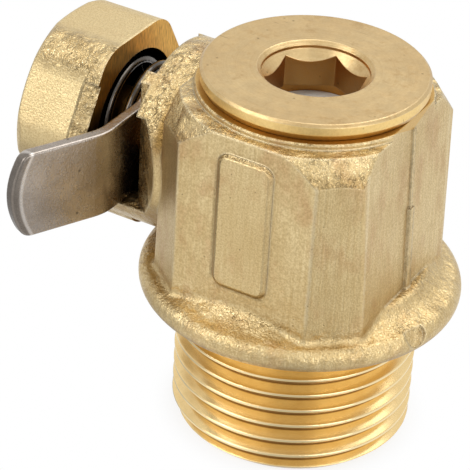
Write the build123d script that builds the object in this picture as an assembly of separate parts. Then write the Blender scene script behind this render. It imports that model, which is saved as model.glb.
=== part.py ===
"""Oil drain ball valve, M20 x 1.5, with a spring-loaded locking lever.

Millimetres, +Z up. The origin is on the thread's axis, in the collar's underside.
The flow runs along Z, the stem along X. The lever is stored just clear of its closed notch.
"""
import os
from math import cos, hypot, radians, sin, sqrt, tan

from build123d import *

# Running and assembly clearances
SLIDE_GAP = 0.05          # parts that turn or slide in each other, on the radius
SEAT_GAP = 0.01           # ball to its PTFE seats
FLAT_GAP = 0.02           # faces that turn or slide flat on each other
SWEEP_GAP = 0.10          # lever to what it swings past

# Threaded stub
THREAD_R = 10.0           # M20 major radius; the thread's form is dressed on later
THREAD_LENGTH = 12.0
THREAD_CHAMFER = 0.75

# Collar
COLLAR_R = 13.2
COLLAR_RIM_Z = 0.85       # height of the rim's widest circle
COLLAR_TOP_Z = 3.3
COLLAR_FACE_R = 12.45     # outer edge of the sealing face
BEAD = (12.55, 2.05)      # radius and height where the rim's bead meets the hollow slope
HOLLOW = 0.2              # how far the slope sags below a straight line
FOOT_R = 0.5              # fillet between the collar and the eight sides
DISC_R = 1.05             # ejector disc pressed into the rim
DISC_DEPTH = 0.12
DISC_AT = (12.75, 1.7, -16.0)  # radius, height, degrees round from +X

# Eight-sided body
FORGING_OFF = 0.43        # the forging lies this far to the front of the turned axis
FLAT_Y = 9.87             # the forging's middle to the wide flats
FLAT_X = 9.65             # axis to the side faces, at the collar
SIDE_DRAFT_DEG = 2.7      # the side faces lean in towards the top
FLAT_HALF = 6.05          # half the wide flat
SIDE_HALF = 6.84          # half the side face, at the collar
BODY_EDGE_R = 0.3
SHOULDER_R = 10.3         # flat top ends here, in a steep cone
SHOULDER_DEG = 58.0
SHOULDER_Z = 18.1
NECK_R = 9.45             # machined land under the plug's flange
PAD_HALF = 2.42
PAD_Z = (4.8, 16.7)
PAD_CORNER_R = 1.0
PAD_PROUD = 0.35
PAD_EDGE_R = 0.3
FLASH = ((0.75, 0.24, 2.0, 10.6), (0.3, 0.12, 10.4, 17.6))  # trimmed flash: width, height, from, to

# Waterway
STEM_Z = 10.35            # ball centre and stem axis
BALL_R = 5.5
BALL_PORT_R = 3.0
CHAMBER_R = 5.7
SEAT_REACH = 5.4          # ball centre to the back of each seat
SEAT_BORE_R = 3.2
SEAT_LIP_R = 4.7          # outer radius of the seat's ball face
INLET_R = 4.6
INLET_CONE_Z = (1.6, 3.0)

# Outlet plug
PLUG_TOP_Z = 20.07
FLANGE_R = 9.1
FLANGE_THICK = 1.45
FLANGE_UNDERCUT = (0.3, 0.55)  # chamfer under the flange's rim, across and up
SHANK_R = 6.95
SOCKET_AF = 7.0
SOCKET_TURN = 35.0        # as the plug happened to be screwed in
SOCKET_DEPTH = 3.5        # hexagon ends in a round relief
RELIEF_BORE_R = 4.2
COUNTERSINK = ((4.65, 0.0), (4.3, 0.3), (4.3, 0.55), (3.4, 1.45))  # radius and depth down the steps
O_RING_WIRE = 1.0
O_RING_FIT = 0.02         # radial room left round an O-ring
PLUG_GROOVE_Z = (16.75, 17.95)

# Stem boss and lever housing, along -X
HOUSING_END = 23.0
HOUSING_R = 8.05
HOUSING_AF = 15.1
HOUSING_EDGE_R = 0.9
HEX_EDGE_R = 3.0          # the hexagon's corners are well rounded
RELIEF = (1.3, 0.4)       # bevel beside the slot, over the closed lever: along the stem, and deep
RELIEF_SPAN = (-8.0, 1.7)  # across the hexagon's side, from its middle
SLOT = (12.95, 16.35)     # lever slot, from the ring's face to the housing's face
SLOT_FLOOR = 3.9          # below the stem axis; leaves the bridge
SPRING_BORE_R = 5.8
NOTCH_DEPTH = 0.85
NOTCH_HALF = 3.9
TOOTH_HALF = 4.4          # upper flank of the closed notch
TOOTH_TOP = 6.4           # trimmed front of the tooth above it
TOOTH_Y = 4.75
POCKET_R = 5.25           # round recess in the locking ring
POCKET_END = 10.95
STEM_BORE_R = 3.65
RING_GROOVE_R = 6.35
RING_GROOVE_IN = (2.25, 1.25)  # groove's sides, in from the housing's end
LEAD_Y = (6.0, 8.3)       # relief in front of the closed notch, near and far
LEAD_X = (12.1, 9.2)

# Stem
TONGUE_WIDTH = 2.4
TONGUE_LENGTH = 5.4
TONGUE_DEPTH = 1.5
WASHER_THICK = 0.35
STEM_FLANGE_R = 5.0
STEM_FLANGE_THICK = 0.75
FLATS_R = 3.2
FLATS_AF = 4.6
TAIL_R = 2.2
STEM_SHORT = 1.4          # stem's end, in from the housing's end
STEM_GROOVES = (7.0, 9.3)  # centres of the two O-ring grooves
STEM_GROOVE_WIDTH = 1.2

# Lever
LEVER_THICK = 1.05
LEVER_HALF = 3.75
LEVER_EYE_R = 5.05
LEVER_STRAIGHT = 8.2      # stem axis to the start of the bend
LEVER_BEND_R = 4.6        # on the near face
LEVER_BEND_DEG = 26.0
LEVER_REACH = 17.15       # stem axis to the tip, along the radius
LEVER_TIP_R = 6.5         # the tip's long arc
LEVER_CORNER_R = 1.2
LEVER_EDGE_R = 0.22
HOOK_LENGTH = 1.1         # tip curled in a little
HOOK_DEG = 12.0

# Spring and its seat
WIRE = 0.75
SPRING_MEAN_R = 4.75
SPRING_PITCH = 1.75
SPRING_TURN = 170.0       # where the wire starts, round from -Y
SEAT_WASHER_THICK = 0.7
RETAINER_THICK = 0.9
RETAINER_WIDE = 1.42

NECK_TOP_Z = PLUG_TOP_Z - FLANGE_THICK - FLAT_GAP
RING_GROOVE = [HOUSING_END - d for d in RING_GROOVE_IN]
STEM_END = HOUSING_END - STEM_SHORT
NOTCH_X = SLOT[0] - NOTCH_DEPTH
LEVER_NEAR = SLOT[0] + SWEEP_GAP           # lever's near face, pulled clear of the notch
LEVER_FAR = LEVER_NEAR + LEVER_THICK
SPRING_OUTER = RING_GROOVE[0] + FLAT_GAP - SEAT_WASHER_THICK
STEM_FLANGE_X = POCKET_END + WASHER_THICK + STEM_FLANGE_THICK
STEM_AXIS = Axis((0, 0, STEM_Z), (-1, 0, 0))


def along_stem(start, end, radius):
    """A round bar on the stem axis, from start to end along -X."""
    middle = Location((-(start + end) / 2, 0, STEM_Z), (0, 90, 0))
    return middle * Cylinder(radius, end - start)


def turned(points, axis_x=False):
    """A solid of revolution from (radius, height) points, about Z or about the stem."""
    if axis_x:
        outline = [Vector(-x, 0, STEM_Z + r) for r, x in points]
        return revolve(make_face(Polyline(*outline, close=True)), STEM_AXIS)
    outline = [Vector(r, 0, z) for r, z in points]
    return revolve(make_face(Polyline(*outline, close=True)), Axis.Z)


def slab(x, y, z):
    """A box from three (low, high) pairs."""
    centre = [(a + b) / 2 for a, b in (x, y, z)]
    return Pos(*centre) * Box(x[1] - x[0], y[1] - y[0], z[1] - z[0])


def collar():
    """One revolved profile: a beaded rim, then a slope that sags towards the eight sides."""
    inner = FLAT_Y + FORGING_OFF
    face, bead, top = (COLLAR_FACE_R, 0, 0), (BEAD[0], 0, BEAD[1]), (inner, 0, COLLAR_TOP_Z)
    sag = ((BEAD[0] + inner) / 2 - HOLLOW / 2, 0, (BEAD[1] + COLLAR_TOP_Z) / 2 - HOLLOW)
    rim = ThreePointArc(face, (COLLAR_R, 0, COLLAR_RIM_Z), bead)
    slope = ThreePointArc(bead, sag, top)
    rest = Polyline(top, (0, 0, COLLAR_TOP_Z), (0, 0, 0), face)
    return revolve(make_face([*rim.edges(), *slope.edges(), *rest.edges()]), Axis.Z)


def ejector_disc():
    """Shallow round pocket square to the bead's surface."""
    radius, height, turn = DISC_AT
    lean = Location((radius, 0, height), (0, 60, 0))
    return Rot(0, 0, turn) * lean * Pos(0, 0, DISC_R - DISC_DEPTH) * Cylinder(DISC_R, 2 * DISC_R)


def threaded_stub():
    """Plain stub at the thread's major size, with a lead chamfer."""
    end, tip = -THREAD_LENGTH, THREAD_R - THREAD_CHAMFER
    return turned([(0, end), (tip, end), (THREAD_R, end + THREAD_CHAMFER), (THREAD_R, 0.2), (0, 0.2)])


def between_sides(top):
    """Wedge between the two leaning side faces, up to a height."""
    lean = tan(radians(SIDE_DRAFT_DEG)) * top
    half = FLAT_X - lean
    faces = Polyline((FLAT_X, 0, 0), (half, 0, top), (-half, 0, top), (-FLAT_X, 0, 0), close=True)
    return extrude(make_face(faces), 20, both=True)


def eight_sided():
    """Forged middle: octagon with leaning side faces and soft edges, trimmed by the shoulder's cone."""
    corners = []
    for sx, sy in ((1, 1), (-1, 1), (-1, -1), (1, -1)):
        pair = [(sx * FLAT_X, sy * SIDE_HALF), (sx * FLAT_HALF, sy * FLAT_Y)]
        corners += pair if sx * sy > 0 else pair[::-1]
    prism = extrude(Pos(0, 0, 1.0) * make_face(Polyline(*corners, close=True)), SHOULDER_Z - 1.0)
    prism &= between_sides(SHOULDER_Z)
    upright = [e for e in prism.edges() if abs(e.tangent_at(0.5).Z) > 0.9]
    prism = fillet(upright, BODY_EDGE_R)
    drop = 3.0
    spread = drop / tan(radians(SHOULDER_DEG))
    trim = turned([(0, 0), (SHOULDER_R + spread, 0), (SHOULDER_R + spread, SHOULDER_Z - drop),
                   (SHOULDER_R, SHOULDER_Z), (0, SHOULDER_Z)])
    return Pos(0, -FORGING_OFF, 0) * (prism & trim)


def pads():
    """Raised pads on the two wide flats, with soft edges."""
    height = PAD_Z[1] - PAD_Z[0]
    face = RectangleRounded(2 * PAD_HALF, height, PAD_CORNER_R)
    deep = FLAT_Y + PAD_PROUD
    bar = extrude(Plane.XZ * Pos(0, sum(PAD_Z) / 2) * face, deep, both=True)
    rims = [e for e in bar.edges() if abs(e.center().Y) > deep - 0.01]
    bar = fillet(rims, min(PAD_EDGE_R, 0.9 * PAD_PROUD))
    return Pos(0, -FORGING_OFF, 0) * (bar - slab((-PAD_HALF, PAD_HALF), (1 - FLAT_Y, FLAT_Y - 1), PAD_Z))


def flash():
    """Trimmed flash on the side face's parting line, leaning with the face."""
    ribs = []
    for width, proud, low, high in FLASH:
        lean = tan(radians(SIDE_DRAFT_DEG))
        outer = FLAT_X + proud
        root = outer - 3
        side = Polyline((root, 0, low), (outer - lean * low, 0, low),
                        (outer - lean * high, 0, high), (root, 0, high), close=True)
        ribs.append(extrude(make_face(side), width / 2, both=True))
    return ribs[0] + ribs[1]


def boss():
    """Stem boss and housing blank: round as far as the slot, a soft hexagon with a rounded end past it."""
    end, edge, far = HOUSING_END, HOUSING_EDGE_R, 2 * HOUSING_R
    neck = along_stem(5.0, SLOT[1], HOUSING_R)
    hexagon = Plane.YZ * Pos(0, STEM_Z) * RegularPolygon(HOUSING_AF / 2, 6, major_radius=False)
    head = extrude(fillet(hexagon.vertices(), HEX_EDGE_R), -end)
    head &= along_stem(SLOT[0] + 0.3, end, far)
    rounding = turned([(HOUSING_R - edge, end), (HOUSING_R - 0.15, end - 0.35 * edge),
                       (HOUSING_R + 0.25, end - edge), (far, end - edge), (far, end + 1),
                       (HOUSING_R - edge, end + 1)], axis_x=True)
    return neck + (head - rounding - housing_bevel())


def housing_bevel():
    """Bevel between the slot and the hexagon's front upper side."""
    long, deep = RELIEF
    low, high = RELIEF_SPAN
    face = HOUSING_AF / 2
    corner = Polyline((SLOT[1], face - deep), (SLOT[1] + long, face), (SLOT[1] + long, face + 2),
                      (SLOT[0], face + 2), (SLOT[0], face - deep), close=True)
    side = Plane(origin=(0, 0, STEM_Z), x_dir=(-1, 0, 0), z_dir=(0, sin(radians(30)), cos(radians(30))))
    return extrude(side * Pos(0, 0, low) * make_face(corner), high - low)


def lever_relief():
    """Slot, locking ring notches and the relief in front of the closed notch."""
    far = 30
    low, high = STEM_Z - NOTCH_HALF, STEM_Z + TOOTH_HALF
    slot = slab((-SLOT[1], -SLOT[0]), (-far, far), (STEM_Z - SLOT_FLOOR, 40))
    closed = slab((-SLOT[0] - 0.2, -NOTCH_X), (-far, 0), (low, high))
    tooth = slab((-SLOT[0] - 0.2, -NOTCH_X), (-far, -TOOTH_Y), (STEM_Z, STEM_Z + TOOTH_TOP))
    opened = slab((-SLOT[0] - 0.2, -NOTCH_X), (-NOTCH_HALF, NOTCH_HALF), (STEM_Z, 40))
    wedge = Polyline((-LEAD_X[0], -LEAD_Y[0]), (-LEAD_X[1], -LEAD_Y[1]),
                     (-LEAD_X[1], -far), (-LEAD_X[0], -far), close=True)
    lead = extrude(Pos(0, 0, low) * make_face(wedge), high - low)
    return slot + closed + tooth + opened + lead


def waterway():
    """Everything bored along Z: inlet, seat shelf, ball chamber, plug bore."""
    shelf = STEM_Z - SEAT_REACH
    return turned([
        (0, -20), (INLET_R + 0.5, -20), (INLET_R + 0.5, -THREAD_LENGTH), (INLET_R, -THREAD_LENGTH + 0.5),
        (INLET_R, INLET_CONE_Z[0]), (SEAT_BORE_R, INLET_CONE_Z[1]), (SEAT_BORE_R, shelf), (CHAMBER_R, shelf),
        (CHAMBER_R, STEM_Z + SEAT_REACH - 0.1), (SHANK_R + SLIDE_GAP, STEM_Z + SEAT_REACH - 0.1),
        (SHANK_R + SLIDE_GAP, NECK_TOP_Z - 0.3), (SHANK_R + 0.35, NECK_TOP_Z), (SHANK_R + 0.35, 30), (0, 30),
    ])


def stem_bores():
    """Everything bored along the stem: seal bore, thrust pocket, spring bore, ring groove."""
    return (along_stem(0, POCKET_END + 0.5, STEM_BORE_R)
            + along_stem(POCKET_END, SLOT[0] + 0.5, POCKET_R)
            + along_stem(SLOT[0], HOUSING_END + 1, SPRING_BORE_R)
            + along_stem(RING_GROOVE[0], RING_GROOVE[1], RING_GROOVE_R))


def footed_body():
    """Collar and eight sides as one, with a fillet where they meet."""
    joined = collar() + eight_sided()
    foot = [e for e in joined.edges() if BEAD[1] + 0.1 < e.center().Z < COLLAR_TOP_Z + 0.01
            and e.center().Y ** 2 > 0.01]
    return fillet(foot, FOOT_R)


def valve_body():
    root = SHOULDER_Z - 1.5
    neck = turned([(0, root), (NECK_R, root), (NECK_R, NECK_TOP_Z - 0.1),
                   (NECK_R - 0.1, NECK_TOP_Z), (0, NECK_TOP_Z)])
    neck &= between_sides(NECK_TOP_Z)
    forging = threaded_stub() + footed_body() + pads() + neck + flash() + boss()
    return forging - lever_relief() - waterway() - stem_bores() - ejector_disc()


def outlet_plug():
    base, under = STEM_Z + SEAT_REACH, PLUG_TOP_Z - FLANGE_THICK
    low, high = PLUG_GROOVE_Z
    floor = SHANK_R + SLIDE_GAP - O_RING_WIRE
    blank = turned([
        (0, base), (SHANK_R - 0.3, base), (SHANK_R, base + 0.3), (SHANK_R, low), (floor, low), (floor, high),
        (SHANK_R, high), (SHANK_R, under),
        (FLANGE_R - FLANGE_UNDERCUT[0], under), (FLANGE_R, under + FLANGE_UNDERCUT[1]),
        (FLANGE_R, PLUG_TOP_Z - 0.22), (FLANGE_R - 0.22, PLUG_TOP_Z), (0, PLUG_TOP_Z),
    ])
    steps = [(r, PLUG_TOP_Z - d) for r, d in COUNTERSINK]
    sink = turned([(0, PLUG_TOP_Z + 1), (steps[0][0], PLUG_TOP_Z + 1), *steps, (0, steps[-1][1])])
    end = PLUG_TOP_Z - SOCKET_DEPTH
    hexagon = Rot(0, 0, SOCKET_TURN) * RegularPolygon(SOCKET_AF / 2, 6, major_radius=False)
    socket = extrude(Pos(0, 0, end - 0.1) * hexagon, 8)
    relief = turned([(0, base - 1), (RELIEF_BORE_R, base - 1), (RELIEF_BORE_R, end), (0, end)])
    return blank - sink - socket - relief


def o_ring(groove_outer, wire):
    """A round-section ring about Z that just fills a groove of that outer radius."""
    radius = wire / 2 - O_RING_FIT
    return Torus(groove_outer - wire / 2, radius)


def ball_seat():
    """Seat ring above the ball centre at the origin, with a ball-shaped face."""
    low = sqrt(BALL_R ** 2 - SEAT_LIP_R ** 2)
    blank = turned([(SEAT_BORE_R, 1), (CHAMBER_R - 0.02, 1), (CHAMBER_R - 0.02, SEAT_REACH - FLAT_GAP),
                    (SEAT_BORE_R, SEAT_REACH - FLAT_GAP)])
    blank -= turned([(0, 0), (9, 0), (9, low), (0, low)])
    return blank - Sphere(BALL_R + SEAT_GAP)


def valve_ball():
    """Ball in the closed position: its port runs across the flow, its slot along it."""
    ball = Sphere(BALL_R)
    port = Rot(90, 0, 0) * Cylinder(BALL_PORT_R, 20)
    slot_x = BALL_R - TONGUE_DEPTH
    slot = slab((-10, -slot_x), (-TONGUE_WIDTH / 2 - SLIDE_GAP, TONGUE_WIDTH / 2 + SLIDE_GAP), (-10, 10))
    return Pos(0, 0, STEM_Z) * (ball - port - slot)


def stem():
    tongue_x = BALL_R - TONGUE_DEPTH + SLIDE_GAP
    land_r = STEM_BORE_R - SLIDE_GAP
    floor = STEM_BORE_R - O_RING_WIRE
    land_x = CHAMBER_R + 0.15
    points = [(0, land_x), (land_r, land_x)]
    for centre in STEM_GROOVES:
        a, b = centre - STEM_GROOVE_WIDTH / 2, centre + STEM_GROOVE_WIDTH / 2
        points += [(land_r, a), (floor, a), (floor, b), (land_r, b)]
    flange_x = POCKET_END + WASHER_THICK
    points += [(land_r, flange_x), (STEM_FLANGE_R, flange_x), (STEM_FLANGE_R, STEM_FLANGE_X),
               (FLATS_R, STEM_FLANGE_X), (FLATS_R, LEVER_FAR + 2.2), (TAIL_R, LEVER_FAR + 2.6),
               (TAIL_R, STEM_END - 0.4), (TAIL_R - 0.4, STEM_END), (0, STEM_END)]
    bar = turned(points, axis_x=True)
    tongue = slab((-land_x - 0.2, -tongue_x), (-TONGUE_WIDTH / 2, TONGUE_WIDTH / 2),
                  (STEM_Z - TONGUE_LENGTH / 2, STEM_Z + TONGUE_LENGTH / 2)) & along_stem(0, 10, land_r)
    bar += tongue
    beside = slab((-LEVER_FAR - 4, -STEM_FLANGE_X), (-9, 9), (STEM_Z + FLATS_AF / 2, STEM_Z + 9))
    return bar - beside - mirror(beside, Plane.XY.offset(STEM_Z))


def lever_path(offset):
    """One face of the bent strip in plan, offset towards the far face, and the handle's direction."""
    bend, hook = radians(LEVER_BEND_DEG), radians(HOOK_DEG)
    onward, outward = Vector(-sin(bend), -cos(bend)), Vector(-cos(bend), sin(bend))
    radius, hook_r = LEVER_BEND_R - offset, HOOK_LENGTH / hook - offset
    centre = Vector(-LEVER_NEAR - LEVER_BEND_R, -LEVER_STRAIGHT)
    run = (LEVER_REACH - LEVER_STRAIGHT - LEVER_BEND_R * sin(bend)) / cos(bend) - HOOK_LENGTH
    heel = Vector(-LEVER_NEAR - offset, LEVER_EYE_R + 1)
    start, middle, end = [centre + Vector(cos(t), -sin(t)) * radius for t in (0, bend / 2, bend)]
    curl = end + onward * run
    mid_hook, tip = [curl + (outward * (1 - cos(t)) + onward * sin(t)) * hook_r for t in (hook / 2, hook)]
    return [heel, start, middle, end, curl, mid_hook, tip], onward


def lever_strip():
    """The strip's thickness in plan, from behind the eye to the curled tip."""
    faces = [lever_path(offset)[0] for offset in (0, LEVER_THICK)]
    sides = [Line(*ends).edge() for ends in zip(*[(f[0], f[-1]) for f in faces])]
    for heel, start, middle, end, curl, mid_hook, tip in faces:
        sides += [Line(heel, start).edge(), ThreePointArc(start, middle, end).edge(),
                  Line(end, curl).edge(), ThreePointArc(curl, mid_hook, tip).edge()]
    return extrude(Pos(0, 0, STEM_Z - 8) * make_face(sides), 16)


def lever():
    """Bent strip with a round eye, two flats in its hole, an arched tip and tumbled edges."""
    wide, far = 2 * LEVER_HALF, 2 * LEVER_REACH
    eye = Circle(LEVER_EYE_R) + Pos(-far / 2, 0) * Rectangle(far, wide)
    eye = fillet(eye.vertices().filter_by(lambda v: -LEVER_EYE_R < v.X < 0), 1.0)
    eye -= Circle(FLATS_R + SLIDE_GAP) & Rectangle(far, FLATS_AF + 2 * SLIDE_GAP)
    across = Plane(origin=(0, 0, STEM_Z), x_dir=(0, 1, 0), z_dir=(1, 0, 0))
    points, onward = lever_path(0)
    reach = (points[-1] - points[3]).dot(onward) - LEVER_THICK * sin(radians(HOOK_DEG))
    handle = Pos(-reach / 2, 0) * Rectangle(reach, wide)
    arch = LEVER_TIP_R - reach
    handle &= Pos(arch, 0) * Circle(LEVER_TIP_R) + Pos(far / 2 + arch, 0) * Rectangle(far, far)
    handle = fillet(handle.vertices().filter_by(lambda v: v.X < -0.5 * reach), LEVER_CORNER_R)
    handle += Pos(far / 2, 0) * Rectangle(far, far)
    along = Plane(origin=points[3] + Vector(0, 0, STEM_Z), x_dir=-onward, z_dir=onward.cross(Vector(0, 0, 1)))
    bent = lever_strip() & extrude(across * eye, far, both=True) & extrude(along * handle, far, both=True)
    return fillet([e for e in bent.edges() if on_rim(e)], min(LEVER_EDGE_R, 0.3 * LEVER_THICK))


def on_rim(edge):
    """True for the lever's outer edges: not in its hole, across its bends or through its thickness."""
    middle = edge.center()
    if hypot(middle.Y, middle.Z - STEM_Z) < FLATS_R + 2 * SLIDE_GAP:
        return False
    straight = edge.geom_type == GeomType.LINE
    return not (straight and (abs(edge.tangent_at(0.5).Z) > 0.99 or edge.length < 1.2 * LEVER_THICK))


def lever_spring():
    """Coil spring with ground ends, from the lever to the spring washer."""
    inner, outer = LEVER_FAR + FLAT_GAP, SPRING_OUTER - FLAT_GAP
    start, length = inner - 0.15, outer - inner + 0.3
    coil = Helix(SPRING_PITCH, length, SPRING_MEAN_R)
    wire = Plane(origin=coil @ 0, z_dir=coil % 0) * Circle(WIRE / 2)
    solid = sweep(wire, path=coil, is_frenet=True)
    placed = Location((-start, 0, STEM_Z), (0, -90, 0)) * Rot(0, 0, SPRING_TURN) * solid
    return placed & slab((-outer, -inner), (-9, 9), (STEM_Z - 9, STEM_Z + 9))


def spring_washer():
    return (along_stem(SPRING_OUTER, SPRING_OUTER + SEAT_WASHER_THICK, SPRING_BORE_R - SLIDE_GAP)
            - along_stem(SPRING_OUTER - 1, SPRING_OUTER + 2, TAIL_R + SLIDE_GAP))


def retaining_ring():
    """Internal ring: split, with an eye at each end."""
    start, end = RING_GROOVE[0] + FLAT_GAP, RING_GROOVE[0] + FLAT_GAP + RETAINER_THICK
    rim = RING_GROOVE_R - 0.03
    ring = along_stem(start, end, rim) - along_stem(start - 1, end + 1, rim - RETAINER_WIDE)
    ring -= slab((-30, 0), (-1.1, 1.1), (STEM_Z - 9, STEM_Z))
    for side in (-1, 1):
        ear = Pos(0, side * 2.15, -4.35)
        ring += ear * along_stem(start, end, 1.15)
        ring -= ear * along_stem(start - 1, end + 1, 0.5)
    return ring


def thrust_washer():
    gap = FLAT_GAP
    return (along_stem(POCKET_END + gap, POCKET_END + WASHER_THICK - gap, STEM_FLANGE_R)
            - along_stem(POCKET_END - 1, POCKET_END + 2, STEM_BORE_R))


def stem_o_ring(x):
    return Location((-x, 0, STEM_Z), (0, 90, 0)) * o_ring(STEM_BORE_R, O_RING_WIRE)


def parts():
    yield "valve_body", valve_body()
    yield "outlet_plug", outlet_plug()
    yield "plug_o_ring", Pos(0, 0, sum(PLUG_GROOVE_Z) / 2) * o_ring(SHANK_R + SLIDE_GAP, O_RING_WIRE)
    yield "outlet_seat", Pos(0, 0, STEM_Z) * ball_seat()
    yield "inlet_seat", Pos(0, 0, STEM_Z) * Rot(180, 0, 0) * ball_seat()
    yield "valve_ball", valve_ball()
    yield "stem", stem()
    yield "stem_o_ring_inner", stem_o_ring(STEM_GROOVES[0])
    yield "stem_o_ring_outer", stem_o_ring(STEM_GROOVES[1])
    yield "thrust_washer", thrust_washer()
    yield "lever", lever()
    yield "lever_spring", lever_spring()
    yield "spring_washer", spring_washer()
    yield "retaining_ring", retaining_ring()


os.makedirs("parts", exist_ok=True)
for name, shape in parts():
    export_step(shape, f"parts/{name}.step")
    solids = shape.solids()
    box = shape.bounding_box()
    low, high = [[round(v, 2) for v in corner] for corner in (box.min, box.max)]
    print(f"{name:20s} solids {len(solids)}  volume {shape.volume:9.2f}  from {low} to {high}")
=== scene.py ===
# Looks for the brass oil drain valve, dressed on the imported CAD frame.
import math

import bpy
import numpy as np
from mathutils import Matrix, Vector


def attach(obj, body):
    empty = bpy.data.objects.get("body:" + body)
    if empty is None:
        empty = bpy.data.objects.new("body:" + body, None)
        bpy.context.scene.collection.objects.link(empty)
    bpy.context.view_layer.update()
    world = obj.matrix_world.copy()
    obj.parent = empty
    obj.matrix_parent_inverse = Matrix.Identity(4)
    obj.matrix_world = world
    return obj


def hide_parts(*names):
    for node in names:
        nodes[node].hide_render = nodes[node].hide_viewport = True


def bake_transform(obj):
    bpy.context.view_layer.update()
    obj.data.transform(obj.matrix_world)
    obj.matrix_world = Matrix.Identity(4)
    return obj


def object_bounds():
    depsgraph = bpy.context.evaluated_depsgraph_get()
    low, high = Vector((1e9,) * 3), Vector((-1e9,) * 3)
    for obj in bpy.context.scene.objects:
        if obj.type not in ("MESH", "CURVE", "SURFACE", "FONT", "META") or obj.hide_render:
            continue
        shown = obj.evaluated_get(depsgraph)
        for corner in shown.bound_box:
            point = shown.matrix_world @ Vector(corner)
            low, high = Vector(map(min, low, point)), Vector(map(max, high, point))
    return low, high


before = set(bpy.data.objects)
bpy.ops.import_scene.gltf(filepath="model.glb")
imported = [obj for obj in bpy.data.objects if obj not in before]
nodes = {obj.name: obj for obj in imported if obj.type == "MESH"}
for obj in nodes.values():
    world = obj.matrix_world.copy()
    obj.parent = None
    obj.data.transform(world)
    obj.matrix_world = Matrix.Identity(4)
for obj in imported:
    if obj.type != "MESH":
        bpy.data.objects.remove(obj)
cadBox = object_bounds()
scene = bpy.context.scene
scene.view_settings.view_transform = "Standard"
mm = 0.001
stemZ = 10.35  # mm, height of the stem's axis
print("frame loaded:", len(nodes), "nodes")


# node helpers

def fill(tree, made, inputs):  # sockets given as values or as links
    for key, value in inputs.items():
        if isinstance(value, bpy.types.NodeSocket):
            tree.links.new(value, made.inputs[key])
        else:
            made.inputs[key].default_value = value
    return made


def put(tree, kind, inputs=None, **settings):  # one node
    made = tree.nodes.new(kind)
    for key, value in settings.items():
        setattr(made, key, value)
    return fill(tree, made, inputs or {})


def maths(tree, operation, a, b=0.0):
    return put(tree, "ShaderNodeMath", {0: a, 1: b}, operation=operation).outputs[0]


def chain(tree, operation, values):  # one operation along a row of values
    result = values[0]
    for value in values[1:]:
        result = maths(tree, operation, result, value)
    return result


def times(tree, *values):
    return chain(tree, "MULTIPLY", values)


def plus(tree, *values):
    return chain(tree, "ADD", values)


def less(tree, *values):
    return chain(tree, "SUBTRACT", values)


def most(tree, *values):
    return chain(tree, "MAXIMUM", values)


def off(tree, value, centre):  # distance from a centre
    return maths(tree, "ABSOLUTE", less(tree, value, centre))


def span(tree, a, b):  # length of two offsets at right angles
    return maths(tree, "SQRT", plus(tree, maths(tree, "POWER", a, 2.0), maths(tree, "POWER", b, 2.0)))


def ramp(tree, value, low, high, toLow=0.0, toHigh=1.0):  # smooth step from low to high
    given = {"Value": value, "From Min": low, "From Max": high, "To Min": toLow, "To Max": toHigh}
    return put(tree, "ShaderNodeMapRange", given, interpolation_type="SMOOTHSTEP").outputs["Result"]


def between(tree, mask, ends):  # from the first value to the second as the mask goes from 0 to 1
    return ramp(tree, mask, 0.0, 1.0, *ends)


def blend(tree, mask, a, b):
    return put(tree, "ShaderNodeMix", {0: mask, 6: a, 7: b}, data_type="RGBA").outputs[2]


def noise(tree, coords, scale, detail=3.0, rough=0.5):
    given = {"Vector": coords, "Scale": scale, "Detail": detail, "Roughness": rough}
    return put(tree, "ShaderNodeTexNoise", given).outputs["Fac"]


def apart(tree, vector):  # x, y and z
    return put(tree, "ShaderNodeSeparateXYZ", {"Vector": vector}).outputs


def surfaceNormal(tree):
    return put(tree, "ShaderNodeNewGeometry").outputs["Normal"]


def objectCoords(tree, stretch=(1, 1, 1)):  # millimetres, stretched where a pattern runs along an axis
    place = put(tree, "ShaderNodeTexCoord").outputs["Object"]
    scaled = [1000 * s for s in stretch]
    return put(tree, "ShaderNodeMapping", {"Vector": place, "Scale": scaled}).outputs["Vector"]


def newGroup(name, inputs, outputs):  # inputs with their default values, outputs with their kinds
    tree = bpy.data.node_groups.new(name, "ShaderNodeTree")
    for label, value in inputs.items():
        made = tree.interface.new_socket(label, in_out="INPUT", socket_type="NodeSocketFloat")
        made.default_value = value
    for label, kind in outputs.items():
        tree.interface.new_socket(label, in_out="OUTPUT", socket_type="NodeSocket" + kind)
    given = tree.nodes.new("NodeGroupInput").outputs
    return tree, given, tree.nodes.new("NodeGroupOutput").inputs


def useGroup(tree, group, **values):
    made = put(tree, "ShaderNodeGroup", node_tree=group)
    return fill(tree, made, values).outputs


def srgb(r, g, b):  # 0-255 screen colour to linear
    c = np.array([r, g, b]) / 255.0
    lin = np.where(c <= 0.04045, c / 12.92, ((c + 0.055) / 1.055) ** 2.4)
    return (*[float(v) for v in lin], 1.0)


# shared effects

grainForm = {"blotch": 0.22, "cloud": 0.16, "low": 0.3, "high": 0.7}  # blotch per grain, clouds per mm


def makeBlastGrain():  # fine skin, blotches of about a millimetre and wide soft clouds, all from 0 to 1
    form = grainForm
    kinds = {"Fine": "Float", "Blotch": "Float", "Cloud": "Float"}
    tree, given, out = newGroup("blastGrain", {"Size": 0.2}, kinds)
    at = objectCoords(tree)
    perMm = maths(tree, "DIVIDE", 1.0, given["Size"])
    made = {"Fine": noise(tree, at, perMm, 2.0, 0.6),
            "Blotch": noise(tree, at, times(tree, perMm, form["blotch"]), 3.0, 0.6),
            "Cloud": noise(tree, at, form["cloud"], 3.0, 0.5)}
    for key, value in made.items():
        tree.links.new(ramp(tree, value, form["low"], form["high"]), out[key])
    return tree


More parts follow.
